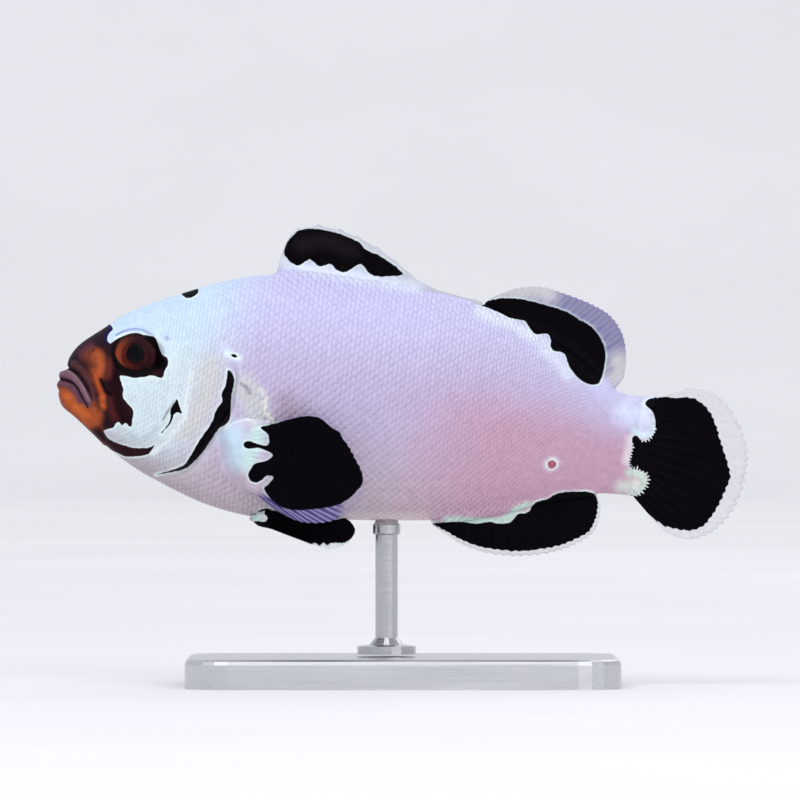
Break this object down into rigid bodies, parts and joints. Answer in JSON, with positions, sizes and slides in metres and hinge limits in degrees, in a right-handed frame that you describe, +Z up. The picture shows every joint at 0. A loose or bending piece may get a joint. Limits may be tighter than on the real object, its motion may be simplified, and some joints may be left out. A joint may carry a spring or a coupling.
{
  "type": "clownfish model",
  "caption": "Life-size clownfish with a pearl-white scaled body, orange and black face and black fins, held level on a rod over a flat base.",
  "frame": {"origin": "centre of the whole model's box, on the plane that the base stands on", "axes": "+X from the head towards the tail, +Y to the fish's right side, +Z up"},
  "size_m": [0.08, 0.03, 0.0534],
  "materials": {
    "pearl_skin": "satin pearl-white scaled skin with a lavender cast, pinker towards the tail",
    "mint_skin": "smooth satin blue-white skin of the head and gill covers",
    "amber_skin": "satin burnt-orange skin of the jaw",
    "lip_skin": "satin violet-brown lip",
    "fin": "black fin web with a thin clear lavender margin",
    "eye": "wet gloss eye, red-brown ring round a black pupil",
    "stand_plate": "fine-brushed plate with a bevelled rim",
    "stand_steel": "turned satin steel rod"
  },
  "bodies": {
    "root": {"head": "mint_skin", "gill_cover_left": "mint_skin", "gill_cover_right": "mint_skin", "upper_lip": "lip_skin", "lower_jaw": "amber_skin", "eye_left": "eye", "eye_right": "eye", "trunk_front": "pearl_skin", "trunk_rear": "pearl_skin", "tail_base": "pearl_skin", "dorsal_fin_front": "fin", "dorsal_fin_rear": "fin", "anal_fin": "fin", "caudal_fin": "fin", "pectoral_fin_left": "fin", "pectoral_fin_right": "fin", "pelvic_fin_left": "fin", "pelvic_fin_right": "fin", "stand_base": "stand_plate", "stand_rod": "stand_steel"}
  },
  "joints": []
}
